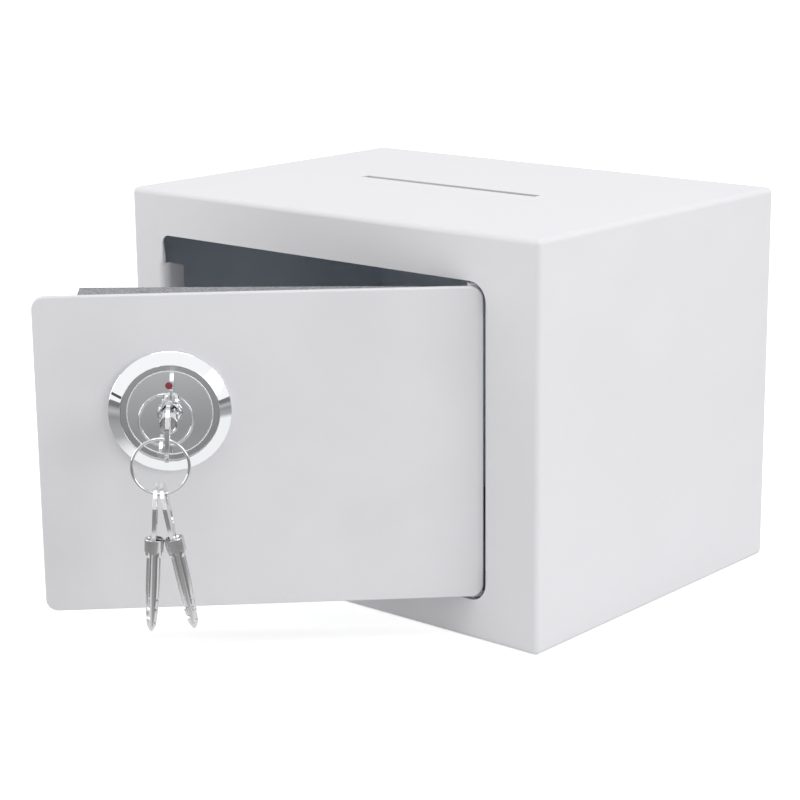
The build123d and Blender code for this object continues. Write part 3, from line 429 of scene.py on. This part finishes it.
def shade(piece, angle=30):
    """Shades a piece smooth up to an angle in degrees, with flat faces kept flat."""
    select_only(piece)
    bpy.ops.object.shade_smooth_by_angle(angle=math.radians(angle))
    bpy.ops.object.modifier_add(type="WEIGHTED_NORMAL")
    weighted = piece.modifiers[-1]
    weighted.keep_sharp = True
    weighted.weight = 100
    bpy.ops.object.modifier_apply(modifier=weighted.name)


def repeat(piece, name):
    """A copy with its own mesh."""
    twin = piece.copy()
    twin.data = piece.data.copy()
    twin.name = name
    bpy.context.scene.collection.objects.link(twin)
    return twin


def smooth_copy(node):
    """A copy of a CAD node with its triangles joined and its round faces shaded smooth."""
    piece = repeat(frame["nodes"][node], node + "_finished")
    piece.parent = None
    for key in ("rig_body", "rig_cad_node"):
        if key in piece:
            del piece[key]
    open_mesh(piece)
    bpy.ops.mesh.select_all(action="SELECT")
    bpy.ops.mesh.remove_doubles(threshold=CAD_WELD * MM)
    bpy.ops.object.mode_set(mode="OBJECT")
    shade(piece, CAD_SHARP)
    return piece


def dress_nodes(made):
    """Every CAD node that no made piece stands for gets a smooth copy in its real material."""
    for body, members in frame["record"]["behaviour"]["bodies"].items():
        for node in members:
            if node not in made:
                material = NODE_MATERIALS.get(node, SLOT_MATERIALS[SLOTS[node]])
                finish_piece(smooth_copy(node), body, material, (node,))


# Ways of working on a mesh


def open_mesh(piece, kind="VERT"):
    """Opens a piece for editing, with nothing selected."""
    select_only(piece)
    bpy.ops.object.mode_set(mode="EDIT")
    bpy.ops.mesh.select_mode(type=kind)
    bpy.ops.mesh.select_all(action="DESELECT")


def pick(piece, kind, test):
    """Selects what passes a test in the open mesh: verts, edges or faces."""
    mesh = bmesh.from_edit_mesh(piece.data)
    for item in getattr(mesh, kind):
        item.select_set(test(item))
    bmesh.update_edit_mesh(piece.data)


def close_mesh():
    """Joins doubles, turns the faces outwards and leaves editing."""
    bpy.ops.mesh.select_all(action="SELECT")
    bpy.ops.mesh.remove_doubles(threshold=WELD * MM)
    bpy.ops.mesh.normals_make_consistent(inside=False)
    bpy.ops.object.mode_set(mode="OBJECT")


def steps_from(radius, height, steps):
    """Profile points that are given as steps outwards and up from a corner."""
    return [(radius + out, height + up) for out, up in steps]


def turned(name, profile, sides=192, tube=False):
    """A piece turned about Z: a circle extruded from ring to ring through radius and height pairs."""
    radius, height = profile[0]
    bpy.ops.object.select_all(action="DESELECT")
    bpy.ops.mesh.primitive_circle_add(vertices=sides, radius=radius * MM, location=(0, 0, 0))
    piece = bpy.context.object
    piece.name = name
    bpy.ops.object.mode_set(mode="EDIT")
    bpy.ops.mesh.select_all(action="SELECT")
    bpy.ops.transform.translate(value=(0, 0, height * MM))
    for wider, higher in profile[1:]:
        bpy.ops.mesh.extrude_edges_move(
            TRANSFORM_OT_translate={"value": (0, 0, (higher - height) * MM)})
        share = wider / radius
        bpy.ops.transform.resize(value=(share, share, 1), center_override=(0, 0, 0))
        radius, height = wider, higher
    bpy.ops.mesh.select_all(action="DESELECT")
    pick(piece, "edges", lambda edge: edge.is_boundary)
    if tube:
        bpy.ops.mesh.bridge_edge_loops()
    else:
        bpy.ops.mesh.fill_holes(sides=0)
    close_mesh()
    return piece


def rod(name, radius, sides=64):
    """A round cutter along Z that goes right through."""
    return turned(name, [(radius, -THROUGH), (radius, THROUGH)], sides)


def blocked(name, low, high):
    """A cube stretched between two corners."""
    bpy.ops.object.select_all(action="DESELECT")
    middle = [(a + b) / 2 * MM for a, b in zip(low, high)]
    size = [(b - a) * MM for a, b in zip(low, high)]
    bpy.ops.mesh.primitive_cube_add(size=1, location=middle, scale=size)
    piece = bpy.context.object
    piece.name = name
    bpy.ops.object.transform_apply(location=True, rotation=True, scale=True)
    return piece


def round_edges(piece, test, width, segments):
    """Bevels the edges that pass a test."""
    open_mesh(piece, "EDGE")
    pick(piece, "edges", test)
    bpy.ops.mesh.bevel(offset=width * MM, segments=segments, affect="EDGES")
    close_mesh()


def along(edge, axis):
    """Whether an edge runs along an axis, given by its number."""
    way = (edge.verts[1].co - edge.verts[0].co).normalized()
    return abs(way[axis]) > 0.999


def cut(piece, tool):
    """Takes one piece out of another and removes the tool."""
    select_only(piece)
    bpy.ops.object.modifier_add(type="BOOLEAN")
    taken = piece.modifiers[-1]
    taken.operation = "DIFFERENCE"
    taken.solver = "EXACT"
    taken.object = tool
    bpy.ops.object.modifier_apply(modifier=taken.name)
    bpy.data.objects.remove(tool)


def soften(piece, width, segments=2, angle=40):
    """Rounds every edge that is sharper than an angle in degrees, and shades the piece smooth."""
    select_only(piece)
    bpy.ops.object.modifier_add(type="BEVEL")
    edge = piece.modifiers[-1]
    edge.width = width * MM
    edge.segments = segments
    edge.limit_method = "ANGLE"
    edge.angle_limit = math.radians(angle)
    edge.use_clamp_overlap = True
    bpy.ops.object.modifier_apply(modifier=edge.name)
    shade(piece, angle)


def settle(piece, place):
    """Moves a piece to its place and keeps that place in its mesh."""
    select_only(piece)
    piece.matrix_world = place
    bpy.context.view_layer.update()
    bpy.ops.object.transform_apply(location=True, rotation=True, scale=True)
    return piece


def move(x, y, z):
    """A shift in millimetres."""
    return Matrix.Translation(Vector((x, y, z)) * MM)


def turn(degrees, axis):
    """A turn about one axis."""
    return Matrix.Rotation(math.radians(degrees), 4, axis)


OPEN_DOOR = move(*HINGE) @ Matrix.Rotation(DOOR_TURN, 4, "Z") @ move(*(-HINGE))
ON_LOCK = OPEN_DOOR @ move(LOCK_X, DOOR_FACE, LOCK_Z) @ turn(90, "X")


# Door and lock pieces


def make_door_plate():
    """The door's thick front plate, with round corners and a softly broken front edge."""
    plate = blocked("door_plate_finished", (PLATE_X[0], DOOR_FACE, PLATE_Z[0]),
                    (PLATE_X[1], DOOR_FACE + PLATE, PLATE_Z[1]))
    round_edges(plate, lambda edge: along(edge, 1), DOOR_CORNER, segments=12)
    front = (DOOR_FACE + SLACK) * MM
    round_edges(plate, lambda edge: all(v.co.y < front for v in edge.verts), DOOR_EDGE, segments=4)
    cut(plate, settle(rod("bore", LOCK_BORE), move(LOCK_X, DOOR_FACE, LOCK_Z) @ turn(90, "X")))
    shade(plate)
    return settle(plate, OPEN_DOOR)


def make_bezel():
    """The polished ring: a low edge, a slope up to the lip, and a step down inside."""
    fall = (BEZEL_HEIGHT - BEZEL_EDGE) / (BEZEL_RADIUS - LIP_RADIUS)
    radii = (BEZEL_RADIUS - SLOPE_START, (BEZEL_RADIUS + LIP_RADIUS) / 2, LIP_RADIUS + SLOPE_STOP)
    slope = [(radius, BEZEL_HEIGHT - (radius - LIP_RADIUS) * fall) for radius in radii]
    profile = [(BEZEL_BORE, 0), (BEZEL_RADIUS, 0)] + steps_from(BEZEL_RADIUS, BEZEL_EDGE, BEZEL_FOOT)
    profile += slope + steps_from(LIP_RADIUS, BEZEL_HEIGHT, BEZEL_LIP)
    profile += [(BAND_RADIUS, LIP_FOOT), (BAND_RADIUS, BEZEL_SEAT), (BEZEL_BORE, BEZEL_SEAT)]
    bezel = turned("lock_bezel_finished", profile, tube=True)
    shade(bezel)
    return settle(bezel, ON_LOCK)


def make_band():
    """The flat satin ring between the bezel's lip and the dial."""
    inner = DIAL_RADIUS + DIAL_PLAY
    outer = BAND_RADIUS - BAND_PLAY
    band = turned("lock_band", [(inner, BAND_BACK), (outer, BAND_BACK), (outer, DIAL_FACE),
                                (inner, DIAL_FACE)], tube=True)
    shade(band)
    return settle(band, ON_LOCK)


def make_mark():
    """The black index mark, let into the bezel's slope."""
    length, width, depth = MARK_SIZE
    mark = blocked("index_mark_finished", (-length / 2, -width / 2, MARK_PROUD - depth),
                   (length / 2, width / 2, MARK_PROUD))
    soften(mark, MARK_EDGE)
    run = BEZEL_RADIUS - LIP_RADIUS
    rise = BEZEL_HEIGHT - BEZEL_EDGE
    slope = math.degrees(math.atan2(rise, run))
    spot = move(BEZEL_RADIUS - run / 2, 0, BEZEL_EDGE + rise / 2) @ turn(slope, "Y")
    return settle(mark, ON_LOCK @ Matrix.Rotation(MARK_ANGLE, 4, "Z") @ spot)


def make_dial():
    """The mirror polished disc with a bright chamfered rim."""
    dial = turned("dial_finished", [
        (NOSE_RADIUS, DIAL_BACK), (DIAL_RADIUS, DIAL_BACK), (DIAL_RADIUS, DIAL_FACE - DIAL_RIM),
        (DIAL_RADIUS - DIAL_RIM, DIAL_FACE), (NOSE_RADIUS + NOSE_EDGE, DIAL_FACE),
        (NOSE_RADIUS, DIAL_FACE - NOSE_EDGE)], tube=True)
    shade(dial)
    return settle(dial, ON_LOCK)


def make_rim():
    """The fine turned bead round the dial's edge, which catches light all the way round."""
    rim = turned("dial_rim", steps_from(DIAL_RADIUS + BEAD_OUTSIDE, DIAL_FACE, BEAD), tube=True)
    shade(rim, angle=60)
    return settle(rim, ON_LOCK)


def make_dot():
    """The red marker: enamel that stands in a slight dome in its pocket."""
    dot = turned("dial_dot_finished", [(DOT_RADIUS * share, DIAL_FACE + up) for share, up in DOT_DOME],
                 sides=48)
    shade(dot, angle=50)
    return settle(dot, ON_LOCK @ move(0, DOT_HEIGHT, 0))


# Keys


def make_blank():
    """The turned blank of a key: a pointed bar, a collar and a cup in the collar's top."""
    return turned("key_shank", list(KEY_POINT) + steps_from(COLLAR_RADIUS, KEY_BLADE, COLLAR_FOOT)
                  + steps_from(COLLAR_RADIUS, COLLAR_TOP, COLLAR_CUP), sides=64)


def make_flute():
    """The cutter for one flute, with a round root. It ends round the collar's tongue, which is a U."""
    near = KEY_FIN / 2
    far = near + FLUTE_WIDTH
    flute = blocked("flute", (near, near, -OVERCUT), (far, far, FLUTE_END))
    root = (near + SLACK) * MM
    round_edges(flute, lambda edge: along(edge, 2) and all(v.co.x < root and v.co.y < root
                                                           for v in edge.verts), FLUTE_ROOT, segments=6)
    middle = move(0, 0, TONGUE_LOW + TONGUE_RADIUS)
    cut(flute, settle(rod("tongue", TONGUE_RADIUS), middle @ turn(45, "Z") @ turn(90, "Y")))
    return flute


def make_shank():
    """A key's blade and collar: the blank with four flutes milled into it and notched fins."""
    shank = make_blank()
    for corner in range(4):
        cut(shank, settle(make_flute(), turn(90 * corner, "Z")))
    for height, depth, fin in NOTCHES:
        notch = blocked("notch", (-NOTCH_SPREAD, -NOTCH_WIDTH / 2, -NOTCH_SPREAD),
                        (NOTCH_SPREAD, NOTCH_WIDTH / 2, NOTCH_SPREAD))
        out = KEY_HALF_SPAN - depth + NOTCH_SPREAD * math.sqrt(2)
        cut(shank, settle(notch, turn(90 * fin, "Z") @ move(out, 0, height) @ turn(45, "Y")))
    for height in SPLIT_HEIGHTS:
        open_mesh(shank)
        bpy.ops.mesh.select_all(action="SELECT")
        bpy.ops.mesh.bisect(plane_co=(0, 0, height * MM), plane_no=(0, 0, 1))
        close_mesh()
    soften(shank, KEY_EDGE, angle=35)
    return settle(shank, turn(FIN_TURN, "Z"))


def make_bow():
    """A key's flat stamped bow: round corners, a ring hole, a sunk panel on each face and a tang."""
    width, thick, length = BOW_SIZE
    bow = blocked("key_bow", (-width / 2, -thick / 2, COLLAR_TOP),
                  (width / 2, thick / 2, COLLAR_TOP + length))
    round_edges(bow, lambda edge: along(edge, 1), BOW_CORNER, segments=12)
    cut(bow, settle(rod("hole", BOW_HOLE, sides=40), move(0, 0, HOLE_ALONG_KEY) @ turn(90, "X")))
    foot = COLLAR_TOP + PANEL_FROM_COLLAR
    for side in (-1, 1):
        sunk = blocked("panel", (-PANEL_WIDTH / 2, -PANEL_DEPTH, foot),
                       (PANEL_WIDTH / 2, PANEL_DEPTH, foot + PANEL_LENGTH))
        round_edges(sunk, lambda edge: along(edge, 1), PANEL_CORNER, segments=8)
        cut(bow, settle(sunk, move(0, side * thick / 2, 0)))
    soften(bow, BOW_EDGE, segments=3)
    tang = blocked("key_tang", (-TANG_WIDTH / 2, -thick / 2, COLLAR_TOP - TANG_IN_COLLAR),
                   (TANG_WIDTH / 2, thick / 2, COLLAR_TOP + TANG_IN_BOW))
    soften(tang, TANG_EDGE)
    select_only(bow)
    tang.select_set(True)
    bpy.ops.object.join()
    return bow


def make_keys():
    """Three like keys: one in the lock and two that hang on the ring. Gives the ring's place."""
    shank = make_shank()
    bow = make_bow()
    in_lock = OPEN_DOOR @ move(LOCK_X, DOOR_FACE + KEY_TIP_DEPTH, LOCK_Z) @ turn(90, "X")
    places = [in_lock @ turn(90 - KEY_PLAY_TURN, "Z")]
    ring_x = LOCK_X + RING_SHIFT
    ring_z = LOCK_Z - RING_HANG - math.sqrt(RING_RADIUS ** 2 - RING_SHIFT ** 2)
    hole_y = DOOR_FACE + KEY_TIP_DEPTH - HOLE_ALONG_KEY
    for shift, tilt in zip(SPARE_SHIFTS, SPARE_TILTS):
        drop = math.sqrt(RING_RADIUS ** 2 - shift ** 2) + RING_HANG
        hung = move(ring_x + shift, hole_y, ring_z - drop) @ turn(-tilt, "Y") @ turn(90, "Z")
        places.append(OPEN_DOOR @ hung @ move(0, 0, -HOLE_ALONG_KEY))
    for number, place in enumerate(places, 1):
        for kind, model in (("shank", shank), ("bow", bow)):
            node = f"key_{kind}_{number}"
            piece = settle(repeat(model, node + "_finished"), place)
            finish_piece(piece, f"key_{number}", nickel, (node,))
    for model in (shank, bow):
        bpy.data.objects.remove(model)
    return OPEN_DOOR @ move(ring_x, hole_y, ring_z) @ turn(90, "X")


def pick_seam(ring):
    """Opens the ring and selects its points at the seam, which lies where the ring crosses X."""
    open_mesh(ring)
    pick(ring, "verts", lambda vert: vert.co.x > 0 and abs(vert.co.y) < SLACK * MM)


def make_ring(place):
    """The key ring: round wire with the seam where its ends meet."""
    bpy.ops.object.select_all(action="DESELECT")
    bpy.ops.mesh.primitive_torus_add(major_radius=RING_RADIUS * MM, minor_radius=RING_WIRE * MM,
                                     major_segments=144, minor_segments=16)
    ring = bpy.context.object
    ring.name = "key_ring_finished"
    pick_seam(ring)
    bpy.ops.mesh.bevel(offset=SEAM_WIDTH * MM, affect="VERTICES", segments=1)
    close_mesh()
    pick_seam(ring)
    bpy.ops.transform.resize(value=(SEAM_PINCH, 1, SEAM_PINCH), center_override=(RING_RADIUS * MM, 0, 0))
    close_mesh()
    shade(ring, angle=60)
    return settle(ring, place @ turn(RING_TURN, "Z"))


finish_piece(make_door_plate(), "door", shaded_door_coat, ("door_plate",))
finish_piece(make_bezel(), "door", chrome, ("lock_bezel",))
finish_piece(make_band(), "door", satin_chrome)
finish_piece(make_mark(), "door", black_enamel, ("index_mark",))
finish_piece(make_dial(), "barrel", chrome, ("dial",))
finish_piece(make_rim(), "barrel", frosted_rim)
finish_piece(make_dot(), "barrel", red_enamel, ("dial_dot",))
finish_piece(make_ring(make_keys()), "ring", nickel, ("key_ring",))
dress_nodes({"door_plate", "lock_bezel", "index_mark", "dial", "dial_dot", "key_ring"}
            | {f"key_{kind}_{number}" for kind in ("shank", "bow") for number in (1, 2, 3)})


# Camera: its place and turn were fitted to the photograph

# Focal length and centre, in the photograph's pixels
VIEW_LENGTH = 2158.1
VIEW_CENTRE = (411.6, 396.1)
VIEW_YAW = math.radians(40.45)
VIEW_PITCH = math.radians(14.02)
VIEW_ROLL = math.radians(-0.48)
VIEW_PLACE = Vector((607.6, -739.2, 312.9)) * MM
SENSOR = 36
# The nearest and the furthest that the camera sees, in metres
CLIP_START = 0.02
CLIP_END = 50

bpy.ops.object.camera_add()
camera = bpy.context.object
aim = Matrix.Rotation(VIEW_YAW, 4, "Z") @ Matrix.Rotation(math.pi / 2 - VIEW_PITCH, 4, "X")
camera.matrix_world = Matrix.Translation(VIEW_PLACE) @ aim @ Matrix.Rotation(VIEW_ROLL, 4, "Z")
camera.data.sensor_width = SENSOR
camera.data.lens = VIEW_LENGTH / PICTURE * SENSOR
camera.data.shift_x = (PICTURE / 2 - VIEW_CENTRE[0]) / PICTURE
camera.data.shift_y = (VIEW_CENTRE[1] - PICTURE / 2) / PICTURE
camera.data.clip_start = CLIP_START
camera.data.clip_end = CLIP_END
bpy.context.scene.camera = camera


# Stage and light, in metres and watts

FLOOR_SIZE = 12
PAPER = 0.88
# What the floor gives off to the camera alone, so that it is as white as the photograph's
FLOOR_LIFT = 0.62
# Painted reflection: what metal sees of the floor, a glowing grey for each distance from the safe
FLOOR_REACH = 2.0
PAINTED_REFLECTION_STOPS = ((0.24, 0.95), (0.3, 0.42), (0.5, 0.3), (0.68, 0.5), (1.2, 0.2))
STUDIO_LIGHT = 0.58
# Each lamp's name, its place, the point that it is aimed at, its width and its power
LAMPS = (
    ("top_softbox", (0.1, -0.1, 1.6), (0, 0, 0.08), 1.4, 11),
    ("left_softbox", (-1.3, -1.3, 0.5), (0, 0, 0.1), 0.9, 8),
    ("right_softbox", (1.8, 0.1, 0.7), (0, 0, 0.1), 0.9, 10),
)


def floor_paper():
    """White studio paper that keeps the shadow. To metal it glows as a painted reflection, white near the
    safe and grey further out.
    """
    material = bpy.data.materials.new("white_studio_paper")
    material.use_nodes = True
    tree = material.node_tree
    tree.nodes.clear()
    path = add_node(tree, "ShaderNodeLightPath")
    paper = add_node(tree, "ShaderNodeBsdfDiffuse", values={"Color": grey(PAPER)})
    strength = add_node(tree, "ShaderNodeMath", operation="MULTIPLY", values={1: FLOOR_LIFT},
                        links={0: path.outputs["Is Camera Ray"]})
    lift = add_node(tree, "ShaderNodeEmission", values={"Color": grey(1)},
                    links={"Strength": strength.outputs["Value"]})
    lifted = add_node(tree, "ShaderNodeAddShader", links={0: paper.outputs[0], 1: lift.outputs[0]})
    place = add_node(tree, "ShaderNodeTexCoord").outputs["Object"]
    distance = add_node(tree, "ShaderNodeVectorMath", operation="LENGTH", links={0: place})
    share = add_node(tree, "ShaderNodeMath", operation="DIVIDE", values={1: FLOOR_REACH},
                     links={0: distance.outputs["Value"]})
    ramp = add_node(tree, "ShaderNodeValToRGB", links={"Fac": share.outputs["Value"]})
    stops = ramp.color_ramp.elements
    while len(stops) < len(PAINTED_REFLECTION_STOPS):
        stops.new(0.5)
    for stop, (reach, level) in zip(stops, PAINTED_REFLECTION_STOPS):
        stop.position = reach / FLOOR_REACH
        stop.color = grey(level)
    # Painted reflection: the floor glows in these greys to glossy rays alone
    painted_reflection = add_node(tree, "ShaderNodeEmission", values={"Strength": 1.0},
                        links={"Color": ramp.outputs["Color"]})
    seen = add_node(tree, "ShaderNodeMixShader", links={
        "Fac": path.outputs["Is Glossy Ray"], 1: lifted.outputs[0], 2: painted_reflection.outputs[0]})
    add_node(tree, "ShaderNodeOutputMaterial", links={"Surface": seen.outputs[0]})
    return material


def make_floor():
    """A wide floor at the safe's base."""
    bpy.ops.mesh.primitive_plane_add(size=FLOOR_SIZE, location=(0, 0, 0))
    floor = bpy.context.object
    floor.name = "studio_floor"
    floor.data.materials.append(floor_paper())


def make_world():
    """Soft studio light from all round, full white to the camera and to metal."""
    world = bpy.data.worlds.new("studio")
    bpy.context.scene.world = world
    world.use_nodes = True
    tree = world.node_tree
    tree.nodes.clear()
    path = add_node(tree, "ShaderNodeLightPath")
    light = add_node(tree, "ShaderNodeBackground", values={"Color": grey(1), "Strength": STUDIO_LIGHT})
    white = add_node(tree, "ShaderNodeBackground", values={"Color": grey(1), "Strength": 1.0})
    either = add_node(tree, "ShaderNodeMath", operation="MAXIMUM",
                      links={0: path.outputs["Is Camera Ray"], 1: path.outputs["Is Glossy Ray"]})
    seen = add_node(tree, "ShaderNodeMixShader", links={
        "Fac": either.outputs["Value"], 1: light.outputs[0], 2: white.outputs[0]})
    add_node(tree, "ShaderNodeOutputWorld", links={"Surface": seen.outputs[0]})


def add_lamp(name, place, aim, width, power):
    """A soft square lamp aimed at a point."""
    bpy.ops.object.light_add(type="AREA", location=place)
    lamp = bpy.context.object
    lamp.name = name
    lamp.data.shape = "SQUARE"
    lamp.data.size = width
    lamp.data.energy = power
    lamp.rotation_euler = (Vector(place) - Vector(aim)).to_track_quat("Z", "Y").to_euler()


make_floor()
make_world()
for lamp in LAMPS:
    add_lamp(*lamp)

bpy.context.scene.view_settings.view_transform = "Standard"
